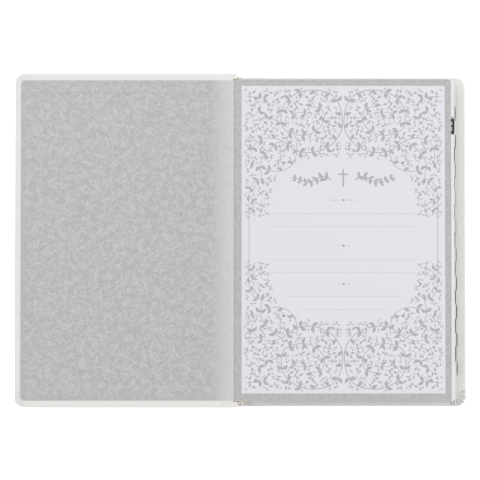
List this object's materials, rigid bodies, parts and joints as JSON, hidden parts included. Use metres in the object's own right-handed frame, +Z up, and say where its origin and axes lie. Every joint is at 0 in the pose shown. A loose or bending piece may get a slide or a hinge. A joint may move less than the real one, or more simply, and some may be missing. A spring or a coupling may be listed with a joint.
{
  "type": "bible",
  "caption": "Thumb-indexed book in a white leather-look cover, open at its front cover to a printed flyleaf, with hinged covers and turning leaves.",
  "frame": {"origin": "on the surface the book lies on, under the middle of the open spread", "axes": "+X from the spine towards the fore edge of the leaves, +Y towards the head of the book, +Z up"},
  "size_m": [0.301, 0.222, 0.0319],
  "materials": {
    "white_leather": "fine-grained white leather-look cover, satin",
    "grey_board": "grey binder's board, matte",
    "card": "plain card, matte",
    "silver_endpaper": "silver-grey printed endpaper, satin",
    "printed_flyleaf": "pale lavender panel with silver vines, satin",
    "page_paper": "thin white bible paper, matte",
    "index_label": "black label, satin",
    "band_cloth": "woven gold and cream band, matte",
    "mull_cloth": "open cotton mull, matte"
  },
  "bodies": {
    "text_block": {"text_block": "page_paper", "back_flyleaf": "silver_endpaper", "index_label_01": "index_label", "index_label_02": "index_label", "index_label_03": "index_label", "index_label_04": "index_label", "index_label_05": "index_label", "index_label_06": "index_label", "index_label_07": "index_label", "index_label_08": "index_label", "index_label_09": "index_label", "index_label_10": "index_label", "index_label_11": "index_label", "index_label_12": "index_label", "index_label_13": "index_label", "index_label_14": "index_label", "index_label_15": "index_label", "index_label_16": "index_label", "index_label_17": "index_label", "index_label_18": "index_label", "index_label_19": "index_label", "spine_leather": "white_leather", "spine_card": "card", "spine_mull": "mull_cloth", "head_band": "band_cloth", "tail_band": "band_cloth"},
    "second_signature": {"second_signature": "page_paper"},
    "first_signature": {"first_signature": "page_paper"},
    "flyleaf": {"front_flyleaf": "printed_flyleaf"},
    "front_cover": {"front_cover_leather": "white_leather", "front_board": "grey_board", "front_infill_card": "card", "front_joint_leather": "white_leather", "front_pastedown": "silver_endpaper"},
    "back_cover": {"back_cover_leather": "white_leather", "back_board": "grey_board", "back_infill_card": "card", "back_joint_leather": "white_leather", "back_pastedown": "silver_endpaper"}
  },
  "joints": [
    {"name": "front_cover_hinge", "type": "hinge", "parent": "text_block", "child": "front_cover", "pos_m": [-0.0028, 0, 0.0318], "axis": [0, 1, 0], "range_deg": [-11, 179.5]},
    {"name": "back_cover_hinge", "type": "hinge", "parent": "text_block", "child": "back_cover", "pos_m": [0.0028, 0, 0.00319], "axis": [0, 1, 0], "range_deg": [0, 179.5]},
    {"name": "second_signature_turn", "type": "hinge", "parent": "text_block", "child": "second_signature", "pos_m": [-0.00465, 0, 0.03175], "axis": [0, 1, 0], "range_deg": [-25, 0]},
    {"name": "first_signature_turn", "type": "hinge", "parent": "second_signature", "child": "first_signature", "pos_m": [-0.00465, 0, 0.03175], "axis": [0, 1, 0], "range_deg": [-35, 0]},
    {"name": "flyleaf_turn", "type": "hinge", "parent": "first_signature", "child": "flyleaf", "pos_m": [-0.00465, 0, 0.03175], "axis": [0, 1, 0], "range_deg": [-119, 0]}
  ]
}
